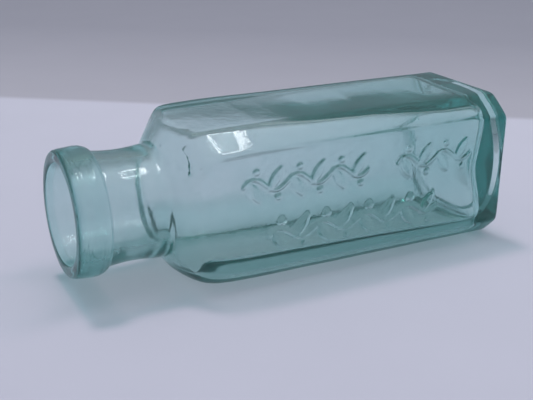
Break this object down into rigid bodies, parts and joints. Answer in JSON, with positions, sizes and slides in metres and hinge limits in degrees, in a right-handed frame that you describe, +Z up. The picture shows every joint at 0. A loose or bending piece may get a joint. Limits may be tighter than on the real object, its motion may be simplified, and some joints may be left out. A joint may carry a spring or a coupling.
{
  "type": "small blown glass bottle",
  "caption": "Small mould-blown aqua glass bottle with a square chamfered body, round shoulder, wide neck and laid-on collar, stored lying on one side.",
  "frame": {"origin": "on the surface that the bottle lies on, below the middle of its length and width", "axes": "+Z up, +X along the bottle's axis towards its base, so the mouth faces -X and the front face -Y"},
  "size_m": [0.112, 0.0382, 0.0382],
  "materials": {
    "body_glass": "clear aqua glass, wavy from the mould, with small seeds",
    "collar_glass": "clear aqua glass, fire-polished, with tooling rings"
  },
  "bodies": {
    "root": {"bottle_body": "body_glass", "lip_collar": "collar_glass"}
  },
  "joints": []
}
